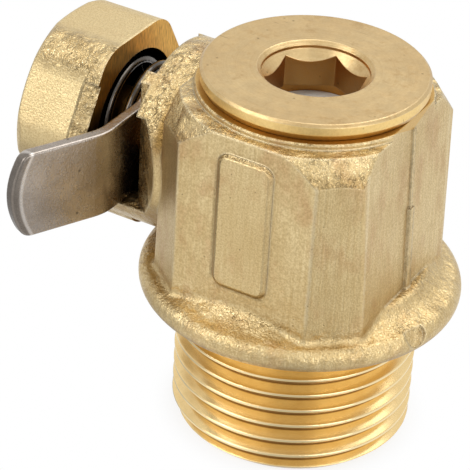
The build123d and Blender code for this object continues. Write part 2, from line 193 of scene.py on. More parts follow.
def makeEdges():  # rounded normal, and a mask of the edges it rounds
    tree, given, out = newGroup("softEdges", {"Radius": 0.0003}, {"Normal": "Vector", "Mask": "Float"})
    soft = put(tree, "ShaderNodeBevel", {"Radius": given["Radius"]}, samples=6).outputs["Normal"]
    pair = {0: soft, 1: surfaceNormal(tree)}
    same = put(tree, "ShaderNodeVectorMath", pair, operation="DOT_PRODUCT").outputs["Value"]
    tree.links.new(soft, out["Normal"])
    tree.links.new(ramp(tree, same, 0.998, 0.9), out["Mask"])
    return tree


def makePits():  # scattered small dark pits: the middles of some cells
    tree, given, out = newGroup("pits", {"Spacing": 1.2, "Share": 0.4}, {"Mask": "Float"})
    perMm = maths(tree, "DIVIDE", 1.0, given["Spacing"])
    cells = put(tree, "ShaderNodeTexVoronoi", {"Vector": objectCoords(tree), "Scale": perMm}).outputs
    near = ramp(tree, cells["Distance"], 0.16, 0.05)
    red = put(tree, "ShaderNodeSeparateColor", {"Color": cells["Color"]}).outputs["Red"]
    tree.links.new(times(tree, near, maths(tree, "LESS_THAN", red, given["Share"])), out["Mask"])
    return tree


def makeCreviceShade():  # painted shade mask: 1 in corners and deep places, from ambient occlusion
    tree, given, out = newGroup("creviceShade", {"Reach": 0.0012}, {"Mask": "Float"})
    light = put(tree, "ShaderNodeAmbientOcclusion", {"Distance": given["Reach"]}, samples=6).outputs["AO"]
    tree.links.new(ramp(tree, light, 0.92, 0.35), out["Mask"])
    return tree


tornForm = {"slope": (0.15, 0.5), "collar": (4.2, 2.6), "bossIn": (-9.6, -10.6), "bossOut": (-16.0, -15.0),
            "corner": math.radians(58), "cornerHalf": (0.32, 0.1), "cornerX": (-14.0, -16.0),
            "bevelOut": (-17.9, -17.5), "bevelIn": (-15.0, -16.2), "bevelY": (-3.5, -5.0),
            "bodyX": (-16.5, -15.5), "smooth": (2.2, 4.8, 0.5, 0.85)}  # mm and radians


def makeTorn():  # coarse skin on the slopes, the collar, the boss and the housing's upper corner; folds in it
    form = tornForm
    tree, _, out = newGroup("tornSkin", {}, {"Mask": "Float", "Wrinkle": "Float"})
    at = objectCoords(tree)
    x, y, z = apart(tree, at)
    upward = apart(tree, surfaceNormal(tree))["Z"]
    slope = ramp(tree, maths(tree, "ABSOLUTE", upward), *form["slope"])
    collar = ramp(tree, z, *form["collar"])
    boss = times(tree, ramp(tree, x, *form["bossIn"]), ramp(tree, x, *form["bossOut"]))
    turn = maths(tree, "ARCTAN2", less(tree, z, stemZ), times(tree, y, -1.0))
    corner = ramp(tree, off(tree, turn, form["corner"]), *form["cornerHalf"])
    corner = times(tree, corner, ramp(tree, x, *form["cornerX"]))
    bevel = times(tree, ramp(tree, x, *form["bevelOut"]), ramp(tree, x, *form["bevelIn"]))
    corner = most(tree, corner, times(tree, bevel, ramp(tree, y, *form["bevelY"])))
    body = times(tree, most(tree, slope, collar), ramp(tree, x, *form["bodyX"]))
    body = times(tree, body, ramp(tree, z, *form["smooth"]))  # the collar is the smoothest
    patchy = ramp(tree, noise(tree, at, 0.55, 3.0, 0.6), 0.3, 0.6, 0.35, 1.0)
    mask = times(tree, most(tree, body, boss, corner), patchy)
    tree.links.new(mask, out["Mask"])
    fold = ramp(tree, off(tree, noise(tree, at, 0.9, 4.0, 0.65), 0.5), 0.022, 0.004)
    some = ramp(tree, noise(tree, at, 0.35, 1.0), 0.48, 0.58)
    tree.links.new(times(tree, fold, some, ramp(tree, mask, 0.3, 0.7)), out["Wrinkle"])
    return tree


forgingForm = {"off": 0.43, "flat": (6.05, 9.87), "side": (9.65, 6.84), "lean": 0.0472, "flash": 0.3,
               "pad": (2.42, 4.8, 16.7), "padCorner": 1.0}  # mm, as in the CAD
markForm = {"lineX": (-10.0, -9.0), "lineZ": (3.4, 4.6), "flashX": (8.3, 8.6), "flashZ": (3.2, 3.8),
            "front": (-9.6, -10.0), "nook": (18.0, 14.8), "nookLow": (8.0, 9.0, 0.0, 1.6),
            "nookX": (-10.4, -9.6), "rim": (1.0, 0.2), "below": (-12.0, -10.0, 0.4, 1.0)}  # mm


def makeMarks():  # wear and painted highlight on upright edges, ragged flash, painted shade in nooks and below, a painted shadow beside and under the pad
    form, mark = forgingForm, markForm
    kinds = {"EdgeWearAndHighlight": "Float", "Flash": "Float", "UnderShade": "Float", "PadShadow": "Float"}
    tree, _, out = newGroup("forgingMarks", {}, kinds)
    at = objectCoords(tree)
    x, y, z = apart(tree, at)
    rag = less(tree, noise(tree, at, 2.6, 3.0, 0.7), 0.5)
    across = maths(tree, "ABSOLUTE", x)
    deep = maths(tree, "ABSOLUTE", plus(tree, y, form["off"]))

    def fromLine(lineX, lineY):  # distance from an upright line, in plan
        return span(tree, less(tree, across, lineX), less(tree, deep, lineY))

    leaning = less(tree, form["side"][0], times(tree, z, form["lean"]))
    near = maths(tree, "MINIMUM", fromLine(*form["flat"]), fromLine(leaning, form["side"][1]))
    # pale lines along the upright edges of the flats: wear and painted highlight
    line = ramp(tree, plus(tree, near, times(tree, rag, 0.5)), 0.24, 0.05)
    line = times(tree, line, ramp(tree, x, *mark["lineX"]), ramp(tree, z, *mark["lineZ"]))
    tree.links.new(line, out["EdgeWearAndHighlight"])
    beside = maths(tree, "ABSOLUTE", plus(tree, y, times(tree, rag, 0.9)))
    ragged = ramp(tree, beside, form["flash"] + 0.2, form["flash"])
    ragged = times(tree, ragged, ramp(tree, beside, 0.05, 0.25))
    ragged = times(tree, ragged, ramp(tree, noise(tree, at, 0.9), 0.4, 0.6, 0.25, 0.8))
    face = times(tree, ramp(tree, x, *mark["flashX"]), ramp(tree, z, *mark["flashZ"]))
    tree.links.new(times(tree, ragged, face), out["Flash"])
    # painted shadow in a band left of the pad and along its foot
    half, low, high = form["pad"]
    left = ramp(tree, off(tree, x, -half - 0.12), 0.3, 0.04)
    left = times(tree, left, ramp(tree, z, low, low + 0.8), ramp(tree, z, high, high - 2.5))
    foot = ramp(tree, off(tree, z, low - 0.1), 0.26, 0.04)
    foot = times(tree, foot, ramp(tree, across, half + 0.1, half - 0.6))
    front = times(tree, ramp(tree, y, *mark["front"]), ramp(tree, rag, -0.3, 0.1, 0.3, 1.0))
    tree.links.new(times(tree, most(tree, left, foot), front), out["PadShadow"])
    # painted shade on faces turned down, in hollows of the upper slopes and along the collar's lowest band
    upward = apart(tree, surfaceNormal(tree))["Z"]
    nook = times(tree, ramp(tree, z, *mark["nook"]), ramp(tree, upward, 0.2, 0.4))
    nook = times(tree, nook, ramp(tree, z, *mark["nookLow"]), ramp(tree, x, *mark["nookX"]))
    rim = times(tree, ramp(tree, z, *mark["rim"]), ramp(tree, noise(tree, at, 0.3, 2.0), 0.4, 0.6, 0.3, 1.0))
    below = times(tree, ramp(tree, upward, -0.05, -0.6), ramp(tree, x, *mark["below"]))
    tree.links.new(most(tree, below, nook, rim), out["UnderShade"])
    return tree


def makePad():
    # soft swell of a pad: height from the distance to its rounded outline, and a plain normal for its side
    form = forgingForm
    kinds = {"Height": "Float", "Zone": "Float", "Facing": "Vector"}
    tree, _, out = newGroup("padSwell", {}, kinds)
    x, y, z = apart(tree, objectCoords(tree))
    half, low, high = form["pad"]
    offX = less(tree, maths(tree, "ABSOLUTE", x), half - form["padCorner"])
    offZ = less(tree, off(tree, z, (low + high) / 2), (high - low) / 2 - form["padCorner"])
    corner = span(tree, most(tree, offX, 0.0), most(tree, offZ, 0.0))
    inside = maths(tree, "MINIMUM", most(tree, offX, offZ), 0.0)
    past = less(tree, plus(tree, corner, inside), form["padCorner"])
    shifted = plus(tree, y, form["off"])
    onFlat = ramp(tree, maths(tree, "ABSOLUTE", shifted), form["flat"][1] - 0.1, form["flat"][1] - 0.05)
    tree.links.new(times(tree, onFlat, ramp(tree, past, 0.15, -0.4)), out["Height"])
    tree.links.new(times(tree, onFlat, maths(tree, "LESS_THAN", past, 0.5)), out["Zone"])
    facing = put(tree, "ShaderNodeCombineXYZ", {"Y": maths(tree, "SIGN", shifted)}).outputs["Vector"]
    tree.links.new(facing, out["Facing"])
    return tree


blastGrain = makeBlastGrain()
softEdges = makeEdges()
pits = makePits()
creviceShade = makeCreviceShade()
tornSkin = makeTorn()
forgingMarks = makeMarks()
padSwell = makePad()


def newMaterial(name, **sockets):  # plain Principled material, its constant sockets set directly
    made = bpy.data.materials.new(name)
    made.use_nodes = True
    tree = made.node_tree
    shader = tree.nodes["Principled BSDF"]
    for key, value in sockets.items():
        shader.inputs[key.replace("_", " ")].default_value = value
    return made, tree, shader.inputs


def bump(tree, height, strength, depthMm, normal=None):
    given = {"Height": height, "Strength": strength, "Distance": depthMm * mm}
    if normal is not None:
        given["Normal"] = normal
    return put(tree, "ShaderNodeBump", given).outputs["Normal"]


# brass

forgedLook = {"pale": srgb(236, 214, 164), "mid": srgb(206, 178, 124), "low": srgb(150, 118, 66),
              "dirtAndShade": srgb(76, 55, 24), "wearAndHighlight": srgb(246, 234, 200), "overlay": srgb(204, 164, 118),
              "grainMm": 0.14, "edgeMm": 0.36, "rough": (0.32, 0.22), "house": (-15.0, -16.5),
              "fewPits": (0.55, 0.1), "manyPits": (0.42, 0.45), "deepShadeMm": 0.7, "dimMm": 3.0}
forgedShare = {"cloud": (0.5, 0.2), "smudge": (0.7, 0.15), "streak": (0.5, 0.15), "fine": (0.34, 0.3),
               "dull": 0.4, "blotch": 0.25, "glint": 0.35, "dim": (15.5, 17.0, 0.45, 0.15), "under": 0.6,
               "edge": 0.35, "line": 0.25, "padShadow": 0.4, "deep": 0.7, "pit": 0.4, "grain": 0.14}
forgedHeight = {"blotch": 0.03, "swell": 0.45, "flat": (-15.0, -12.0, 0.0, 0.08), "fine": (0.014, 0.024),
                "streak": 0.01, "pit": 0.03, "wrinkle": 0.06, "pad": 0.4}  # mm; the housing has no swell


def forgedBrass():  # smooth, streaked flats and a coarse sparkling skin on the rest
    look, part, high = forgedLook, forgedShare, forgedHeight
    made, tree, shader = newMaterial("forgedBrass", Metallic=1.0)
    at = objectCoords(tree)
    place = apart(tree, at)
    grain = useGroup(tree, blastGrain, Size=look["grainMm"])
    edge = useGroup(tree, softEdges, Radius=look["edgeMm"] * mm)
    marks = useGroup(tree, forgingMarks)
    skin = useGroup(tree, tornSkin)
    torn = skin["Mask"]
    pad = useGroup(tree, padSwell)
    few = useGroup(tree, pits, Spacing=look["fewPits"][0], Share=look["fewPits"][1])["Mask"]
    many = useGroup(tree, pits, Spacing=look["manyPits"][0], Share=look["manyPits"][1])["Mask"]
    # occlusion masks for painted shade in deep corners and broad hollows
    deep = useGroup(tree, creviceShade, Reach=look["deepShadeMm"] * mm)["Mask"]
    dim = useGroup(tree, creviceShade, Reach=look["dimMm"] * mm)["Mask"]
    streak = ramp(tree, noise(tree, objectCoords(tree, (1.0, 1.0, 0.05)), 4.5, 3.0, 0.65), 0.3, 0.7)
    smudge = ramp(tree, noise(tree, objectCoords(tree, (1.0, 1.0, 0.6)), 0.42, 4.0, 0.6), 0.48, 0.72)
    glint = ramp(tree, grain["Fine"], 0.3, 0.05)
    house = ramp(tree, place["X"], *look["house"])  # the housing is cleaner, with a duller torn corner
    pit = most(tree, few, marks["Flash"], times(tree, many, torn))

    # lays a colour where all the masks are: tone, real stains and wear, and also painted shade and painted
    # highlights
    def overlay(tone, colour, *masks):
        return blend(tree, times(tree, *masks), tone, look[colour])

    tone = overlay(look["pale"], "mid", grain["Cloud"], between(tree, house, part["cloud"]))
    tone = overlay(tone, "overlay", smudge, between(tree, house, part["smudge"]))
    tone = overlay(tone, "mid", streak, between(tree, house, part["streak"]))
    tone = overlay(tone, "low", grain["Fine"], between(tree, torn, part["fine"]))
    tone = overlay(tone, "low", house, torn, part["dull"])
    tone = overlay(tone, "low", grain["Blotch"], torn, part["blotch"])
    # painted glints: bright specks on the torn skin
    tone = overlay(tone, "wearAndHighlight", glint, torn, part["glint"])
    # painted shade: broad occlusion darkens hollows, less towards the top
    tone = overlay(tone, "low", dim, ramp(tree, place["Z"], *part["dim"]))
    # painted shade under things and in nooks
    tone = overlay(tone, "low", marks["UnderShade"], part["under"])
    # rounded edges lightened: wear and painted highlight
    tone = overlay(tone, "wearAndHighlight", edge["Mask"], part["edge"])
    # upright edge lines: wear and painted highlight
    tone = overlay(tone, "wearAndHighlight", marks["EdgeWearAndHighlight"], part["line"])
    # painted shadow beside and under the pad
    tone = overlay(tone, "dirtAndShade", marks["PadShadow"], part["padShadow"])
    # painted shade in the deep corners of the torn skin
    tone = overlay(tone, "dirtAndShade", deep, torn, part["deep"])
    tone = overlay(tone, "dirtAndShade", most(tree, pit, skin["Wrinkle"]), part["pit"])
    tree.links.new(tone, shader["Base Color"])
    rough = plus(tree, between(tree, torn, look["rough"]), times(tree, grain["Fine"], part["grain"]))
    tree.links.new(rough, shader["Roughness"])
    swell = noise(tree, at, 0.5, 1.0, 0.4)
    lumps = plus(tree, times(tree, grain["Blotch"], high["blotch"]), times(tree, swell, high["swell"]))
    flatSwell = times(tree, swell, ramp(tree, place["X"], *high["flat"]))
    height = plus(tree, times(tree, lumps, torn), flatSwell)
    height = plus(tree, height, times(tree, grain["Fine"], between(tree, torn, high["fine"])))
    height = plus(tree, height, times(tree, streak, high["streak"]))
    height = less(tree, height, times(tree, pit, high["pit"]), times(tree, skin["Wrinkle"], high["wrinkle"]))
    base = blend(tree, pad["Zone"], edge["Normal"], pad["Facing"])
    swollen = bump(tree, pad["Height"], 1.0, high["pad"], base)
    tree.links.new(bump(tree, height, 0.9, 1.0, swollen), shader["Normal"])
    return made


machinedLook = {"gold": srgb(222, 186, 116), "dark": srgb(188, 140, 66), "rough": 0.26,
                "stretch": (1, 0.4, 4), "edgeMm": 0.12}
slotLook = {"gold": srgb(240, 184, 84), "dark": srgb(64, 42, 18), "rough": 0.3,
            "stretch": (1, 1, 0.1), "edgeMm": 0.1, "darkBelow": (15.2, 12.0)}
# the bore's faces are painted near black: painted shade deep inside the housing
boreShadeLook = {"gold": srgb(46, 34, 20), "dark": srgb(20, 15, 9), "rough": 0.4,
            "stretch": (5, 1, 1), "edgeMm": 0.1}


def machinedBrass(name, look):  # cut faces with fine tool lines; a slot's wall is darker towards the bottom
    made, tree, shader = newMaterial(name, Metallic=1.0)
    lines = noise(tree, objectCoords(tree, look["stretch"]), 11.0, 2.0, 0.6)
    edge = useGroup(tree, softEdges, Radius=look["edgeMm"] * mm)
    deep = useGroup(tree, creviceShade, Reach=mm)["Mask"]
    tone = blend(tree, ramp(tree, lines, 0.3, 0.7, 0.0, 0.5), look["gold"], look["dark"])
    # painted shade in corners
    tone = blend(tree, times(tree, deep, 0.4), tone, look["dark"])
    if "darkBelow" in look:
        z = apart(tree, objectCoords(tree))["Z"]
        wavy = plus(tree, z, times(tree, noise(tree, objectCoords(tree), 0.8), 1.5))
        tone = blend(tree, ramp(tree, wavy, *look["darkBelow"]), tone, look["dark"])
    tree.links.new(tone, shader["Base Color"])
    tree.links.new(plus(tree, look["rough"], times(tree, lines, 0.12)), shader["Roughness"])
    tree.links.new(bump(tree, lines, 0.25, 0.02, edge["Normal"]), shader["Normal"])
    return made


threadLook = {"gold": srgb(248, 218, 158), "dark": srgb(226, 186, 116), "root": srgb(128, 86, 36),
              "crest": srgb(244, 222, 172), "rough": 0.24, "crestMm": (9.93, 9.995), "rootShadeMm": (9.28, 9.14)}


def threadBrass():  # plain gold flanks, painted shade in the roots and a painted highlight on the slightly burred crests, told by their radius
    look = threadLook
    made, tree, shader = newMaterial("threadBrass", Metallic=1.0)
    lines = noise(tree, objectCoords(tree, (0.15, 0.15, 5.0)), 3.0, 2.0, 0.6)
    at = objectCoords(tree)
    spots = noise(tree, at, 1.1, 3.0, 0.6)
    pit = useGroup(tree, pits, Spacing=0.8, Share=0.25)["Mask"]
    place = apart(tree, at)
    radius = span(tree, place["X"], place["Y"])
    burr = ramp(tree, noise(tree, at, 2.2, 3.0, 0.7), 0.6, 0.72)
    crest = ramp(tree, plus(tree, radius, times(tree, burr, 0.12)), *look["crestMm"])
    tone = blend(tree, ramp(tree, spots, 0.35, 0.75, 0.0, 0.25), look["gold"], look["dark"])
    # painted shade in the roots
    tone = blend(tree, ramp(tree, radius, *look["rootShadeMm"], 0.0, 0.85), tone, look["root"])
    # painted highlight on the crests
    tone = blend(tree, crest, tone, look["crest"])
    tone = blend(tree, times(tree, pit, 0.5), tone, look["dark"])
    tree.links.new(tone, shader["Base Color"])
    tree.links.new(less(tree, look["rough"], times(tree, crest, 0.12)), shader["Roughness"])
    height = plus(tree, lines, times(tree, crest, burr, 2.0))
    tree.links.new(bump(tree, height, 0.1, 0.03), shader["Normal"])
    return made


turnedLook = {"gold": srgb(222, 196, 146), "dark": srgb(186, 148, 92), "wearAndHighlight": srgb(244, 226, 182),
              "dirtAndShade": srgb(96, 64, 26), "rim": srgb(250, 216, 144), "well": srgb(196, 138, 66),
              "rough": 0.28, "edgeMm": 0.14, "deepShadeMm": 4.0, "wellMm": (4.6, 4.2), "sinkMm": 4.6}


def turnedBrass(name="turnedBrass", axis="Z", centre=(0, 0, 0)):  # fine rings round one axis, handling marks
    look = turnedLook
    made, tree, shader = newMaterial(name, Metallic=1.0)
    at = objectCoords(tree)
    parts = apart(tree, at)
    across = [less(tree, parts[k], centre["XYZ".index(k)]) for k in "XYZ" if k != axis]
    radius = span(tree, *across)
    path = put(tree, "ShaderNodeCombineXYZ", {"X": radius, "Y": parts[axis]}).outputs["Vector"]
    rings = noise(tree, path, 7.0, 4.0, 0.75)
    grain = useGroup(tree, blastGrain, Size=0.22)
    scratch = ramp(tree, noise(tree, objectCoords(tree, (0.25, 2.2, 1.0)), 1.6, 2.0, 0.5), 0.7, 0.78)
    edge = useGroup(tree, softEdges, Radius=look["edgeMm"] * mm)
    deep = useGroup(tree, creviceShade, Reach=look["deepShadeMm"] * mm)["Mask"]
    pit = useGroup(tree, pits, Spacing=0.9, Share=0.2)["Mask"]
    smudge = ramp(tree, noise(tree, at, 0.4, 6.0, 0.75), 0.52, 0.66, 0.0, 0.5)
    upright = ramp(tree, maths(tree, "ABSOLUTE", apart(tree, surfaceNormal(tree))[axis]), 0.6, 0.3)
    well = times(tree, upright, ramp(tree, radius, *look["wellMm"]))
    proud = times(tree, edge["Mask"], less(tree, 0.45, times(tree, well, 0.4)))
    sink = off(tree, radius, look["sinkMm"])  # the painted shade stays weak at the countersink
    tone = blend(tree, times(tree, grain["Cloud"], 0.25), look["gold"], look["dark"])
    tone = blend(tree, ramp(tree, rings, 0.35, 0.75, 0.0, 0.3), tone, look["dark"])
    tone = blend(tree, smudge, tone, look["dark"])
    # painted light: upright faces a brighter, richer gold than the top
    tone = blend(tree, upright, tone, look["rim"])
    # painted shade on the socket's walls, a deeper brown
    tone = blend(tree, well, tone, look["well"])
    tone = blend(tree, times(tree, grain["Fine"], 0.2), tone, look["dark"])
    # raised edges lightened: wear and painted highlight, less in the socket
    tone = blend(tree, proud, tone, look["wearAndHighlight"])
    tone = blend(tree, times(tree, most(tree, pit, scratch), 0.5), tone, look["dirtAndShade"])
    # painted shade in deep places
    tone = blend(tree, times(tree, deep, ramp(tree, sink, 0.5, 0.8, 0.15, 0.5)), tone, look["dirtAndShade"])
    tree.links.new(tone, shader["Base Color"])
    tree.links.new(plus(tree, look["rough"], times(tree, grain["Blotch"], 0.12)), shader["Roughness"])
    height = plus(tree, rings, times(tree, grain["Fine"], 0.4))
    height = less(tree, height, times(tree, scratch, 0.6))
    tree.links.new(bump(tree, height, 0.4, 0.02, edge["Normal"]), shader["Normal"])
    return made


# steel, rubber and plastic

steelPit = srgb(60, 54, 48)
# the rolled lever tip's painted highlight line and painted shade band
leverTip = {"at": -16.25, "middle": stemZ, "bow": 0.07, "half": (0.22, 0.03), "dark": srgb(84, 78, 72),
            "bright": srgb(236, 230, 224)}  # mm


def tumbledSteel(name, light, dark, rough, grainMm=0.35, edgeMm=0.0, metal=1.0, tip=None):
    made, tree, shader = newMaterial(name, Metallic=metal)
    grain = useGroup(tree, blastGrain, Size=grainMm)
    pit = useGroup(tree, pits, Spacing=1.1, Share=0.3)["Mask"]
    tone = blend(tree, times(tree, grain["Cloud"], 0.6), light, dark)
    tone = blend(tree, times(tree, grain["Fine"], 0.3), tone, dark)
    tone = blend(tree, times(tree, pit, 0.7), tone, steelPit)
    if tip:  # the strip's end is rolled back, which is not modelled: a painted highlight as a bright bowed line, then painted shade past it
        place = apart(tree, objectCoords(tree))
        bow = times(tree, maths(tree, "POWER", less(tree, place["Z"], tip["middle"]), 2.0), tip["bow"])
        past = less(tree, place["Y"], tip["at"], bow)
        tone = blend(tree, ramp(tree, past, 0.0, -0.25, 0.0, 0.5), tone, tip["dark"])
        line = ramp(tree, maths(tree, "ABSOLUTE", past), *tip["half"])
        tone = blend(tree, times(tree, line, 0.5), tone, tip["bright"])
    tree.links.new(tone, shader["Base Color"])
    tree.links.new(plus(tree, rough, times(tree, grain["Blotch"], 0.1)), shader["Roughness"])
    given = useGroup(tree, softEdges, Radius=edgeMm * mm)["Normal"] if edgeMm else None
    height = less(tree, plus(tree, grain["Fine"], grain["Blotch"]), pit)
    tree.links.new(bump(tree, height, 0.2, 0.02, given), shader["Normal"])
    return made


def mouldedPlain(name, light, dark, rough):  # seals and seats: soft mottled tone, faint skin
    made, tree, shader = newMaterial(name)
    grain = useGroup(tree, blastGrain, Size=0.4)
    tree.links.new(blend(tree, grain["Cloud"], light, dark), shader["Base Color"])
    tree.links.new(plus(tree, rough, times(tree, grain["Fine"], 0.1)), shader["Roughness"])
    tree.links.new(bump(tree, grain["Fine"], 0.15, 0.02), shader["Normal"])
    return made


finish = {
    "forged": forgedBrass(),
    "machined": machinedBrass("machinedBrass", machinedLook),
    "slot": machinedBrass("slotBrass", slotLook),
    "bore": machinedBrass("boreShadeBrass", boreShadeLook),
    "thread": threadBrass(),
    "turned": turnedBrass(),
    "stem": turnedBrass("stemBrass", "X", (0, 0, stemZ)),
    "lever": tumbledSteel("leverSteel", srgb(188, 178, 168), srgb(116, 104, 92), 0.2, 0.14, tip=leverTip),
    "spring": tumbledSteel("springSteel", srgb(104, 98, 92), srgb(70, 64, 58), 0.1, 0.2),
    "washer": tumbledSteel("washerSteel", srgb(150, 146, 140), srgb(120, 116, 110), 0.3, 0.3, 0.08),
    "ring": tumbledSteel("ringSteel", srgb(70, 68, 66), srgb(44, 42, 40), 0.4, 0.3, 0.08),
    "ball": tumbledSteel("ballPlate", srgb(206, 222, 255), srgb(190, 206, 246), 0.3, 0.5, metal=0.1),
    "ptfe": mouldedPlain("ptfe", srgb(236, 236, 230), srgb(220, 219, 210), 0.5),
    "nitrile": mouldedPlain("nitrile", srgb(38, 38, 38), srgb(24, 24, 24), 0.55),
}
print("finishes made:", len(finish))


# meshes

def meshFrom(name, points, triangles, cornerNormals=None):
    mesh = bpy.data.meshes.new(name)
    mesh.from_pydata(points.tolist(), [], triangles.tolist())
    mesh.polygons.foreach_set("use_smooth", np.ones(len(mesh.polygons), bool))
    if cornerNormals is not None:
        mesh.normals_split_custom_set(cornerNormals.reshape(-1, 3).tolist())
    made = bpy.data.objects.new(name, mesh)
    scene.collection.objects.link(made)
    return made


def cadArrays(node):  # merged points, triangles and the CAD's own corner normals
    mesh = nodes[node].data
    mesh.calc_loop_triangles()
    points = np.empty(len(mesh.vertices) * 3, np.float32)
    mesh.vertices.foreach_get("co", points)
    points = points.reshape(-1, 3)
    corners = np.empty(len(mesh.loop_triangles) * 3, np.int32)
    mesh.loop_triangles.foreach_get("loops", corners)
    ends = np.empty(len(mesh.loops), np.int32)
    mesh.loops.foreach_get("vertex_index", ends)
    normals = np.empty(len(mesh.loops) * 3, np.float32)
    mesh.corner_normals.foreach_get("vector", normals)
    normals = normals.reshape(-1, 3)[corners].reshape(-1, 3, 3)
    keys = np.round(points * 1e7).astype(np.int64)
    first, back = np.unique(keys, axis=0, return_index=True, return_inverse=True)[1:]
    triangles = back.reshape(-1)[ends[corners]].reshape(-1, 3)
    whole = (triangles != np.roll(triangles, 1, axis=1)).all(1)  # no two corners merged into one
    return points[first].astype(float), triangles[whole], normals[whole]


def gridTriangles(rows, columns):  # two triangles a cell, wrapped round the columns
    a = np.arange(rows - 1)[:, None] * columns + np.arange(columns)
    b = np.arange(rows - 1)[:, None] * columns + (np.arange(columns) + 1) % columns
    c, d = a + columns, b + columns
    return np.concatenate([np.stack([a, c, b], -1).reshape(-1, 3), np.stack([b, c, d], -1).reshape(-1, 3)])


def ringStrip(outer, inner, outerAngle, innerAngle):
    # fills between two rings of unlike count: each edge joins the last vertex passed on the other ring
    n, m = len(outer), len(inner)
    o, i = np.argsort(outerAngle), np.argsort(innerAngle)
    a, b = outerAngle[o], innerAngle[i]
    twiceA, twiceB = np.append(a, a + 2 * np.pi), np.append(b, b + 2 * np.pi)
    onB = (np.searchsorted(twiceB, twiceA[1:n + 1], "right") - 1) % m
    onA = (np.searchsorted(twiceA, twiceB[1:m + 1], "left") - 1) % n
    fromA = np.stack([outer[o], outer[np.roll(o, -1)], inner[i[onB]]], 1)
    fromB = np.stack([outer[o[onA]], inner[np.roll(i, -1)], inner[i]], 1)
    return np.concatenate([fromA, fromB])


threadForm = {"radius": 10.0, "pitch": 1.5, "depth": 0.92, "crest": 0.19, "root": 0.2, "soft": 0.03,
              "end": -12.0, "chamfer": 0.75, "crestZ": -2.89, "runout": 1.1,
              "rows": 361}  # mm; crestZ is a crest's height on the -Y side


def helicalThread(angles):
    # radius = major radius less the depth of a flat-topped, flat-bottomed V, whose phase climbs one pitch
    # a turn; the V fades out under the collar and is cut by the end's chamfer cone
    form = threadForm
    z = np.linspace(0.0, form["end"], form["rows"])[:, None]
    turn = (angles[None, :] + np.pi / 2) / (2 * np.pi)
    away = np.abs((z - form["crestZ"]) / form["pitch"] - turn)
    away = np.abs(away - np.round(away)) * form["pitch"]
    flank = (form["pitch"] - form["crest"] - form["root"]) / 2
    past = away - form["crest"] / 2
    past = (past + np.sqrt(past ** 2 + form["soft"] ** 2)) / 2  # the crest's edge is a small curve
    cut = np.clip(past / flank, 0, 1) * form["depth"]
    cut = cut * np.clip(-z / form["runout"], 0, 1) ** 0.5
    tip = form["radius"] - form["chamfer"]
    radius = np.minimum(form["radius"] - cut, tip + z - form["end"])
    radius[-1] = tip
    height = np.broadcast_to(z, radius.shape)
    return np.stack([radius * np.cos(angles), radius * np.sin(angles), height], -1)


bodyForm = {"near": 0.02, "level": 0.01, "stemSide": -10.9, "boreR": 6.5, "innerR": 6.2, "ringX": -12.5,
            "slotX": (-16.4, -16.0), "wellR": 7.4, "wellX": -6.0, "neckR": 8.9, "neckZ": 17.95}  # mm
bodyFinish = ("forged", "machined", "bore", "thread", "slot")


def bodyKinds(corners, normals):  # the finish of each CAD face, as a place in bodyFinish
    form = bodyForm
    middle = corners.mean(1)
    x, z = middle[:, 0], middle[:, 2]
    faceX = normals.mean(1)[:, 0]
    fromStem = np.hypot(middle[:, 1], z - stemZ)
    fromZ = np.hypot(x, middle[:, 1])
    reach = np.hypot(corners[:, :, 1], corners[:, :, 2] - stemZ).max(1)  # a face's outermost corner
    bore = (x < form["stemSide"]) & (fromStem < form["boreR"]) & (np.abs(faceX) < 0.7)
    bore = bore | (x < form["stemSide"]) & (reach < form["innerR"])
    ends = (x < form["ringX"]) & (reach > form["innerR"]) & (np.abs(faceX) > 0.98)
    slot = (x > form["slotX"][0]) & (x < form["slotX"][1]) & (faceX > 0.9)
    well = (fromZ < form["wellR"]) & (x > form["wellX"])
    neck = (fromZ < form["neckR"]) & (z > form["neckZ"])
    flat = (np.abs(z) < form["near"]) | (z < threadForm["end"] + form["near"])
    kind = np.zeros(len(corners), np.int32)
    for name, mask in (("bore", bore), ("machined", ends), ("slot", slot), ("machined", well | neck | flat)):
        kind[mask] = bodyFinish.index(name)
    return kind


def valveBody():
    # the CAD forging's own surface, its plain stub replaced by the helical thread
    form = bodyForm
    radius, end = threadForm["radius"], threadForm["end"]
    tip = radius - threadForm["chamfer"]
    points, triangles, normals = cadArrays("valve_body")
    at = points / mm
    z = at[:, 2]
    r = np.hypot(at[:, 0], at[:, 1])
    onStub = np.abs(r - radius) < form["near"]
    onCone = (np.abs(r - tip - (z - end)) < form["near"]) & (z < end + 0.8)
    stub = onStub & (z < form["level"]) | onCone
    middle = at[triangles].mean(1)
    keep = ~(stub[triangles].all(1) & (np.hypot(middle[:, 0], middle[:, 1]) > tip + 0.05))
    triangles, normals = triangles[keep], normals[keep]
    top = np.flatnonzero(onStub & (np.abs(z) < form["level"]))
    angles = np.arctan2(at[top, 1], at[top, 0])
    top, angles = top[np.argsort(angles)], np.sort(angles)
    grid = helicalThread(angles)
    rows, columns = grid.shape[:2]
    number = np.arange(rows * columns) + len(points) - columns
    number[:columns] = top  # the first row is the collar's own ring
    thread = number[gridTriangles(rows, columns)]
    low = np.flatnonzero((np.abs(r - tip) < form["near"]) & (np.abs(z - end) < form["level"]))
    strip = ringStrip(number[-columns:], low, angles, np.arctan2(at[low, 1], at[low, 0]))
    added = np.concatenate([thread, strip[:, [0, 2, 1]]])
    allPoints = np.concatenate([points, grid[1:].reshape(-1, 3) * mm])
    allTriangles = np.concatenate([triangles, added])
    allNormals = np.concatenate([normals, np.zeros((len(added), 3, 3))])
    body = meshFrom("forged_body", allPoints, allTriangles, allNormals)
    for key in bodyFinish:
        body.data.materials.append(finish[key])
    kind = np.full(len(allTriangles), bodyFinish.index("thread"), np.int32)
    kind[:len(triangles)] = bodyKinds(at[triangles], normals)
    body.data.polygons.foreach_set("material_index", kind)
    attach(body, "body")
    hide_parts("valve_body")
    return body


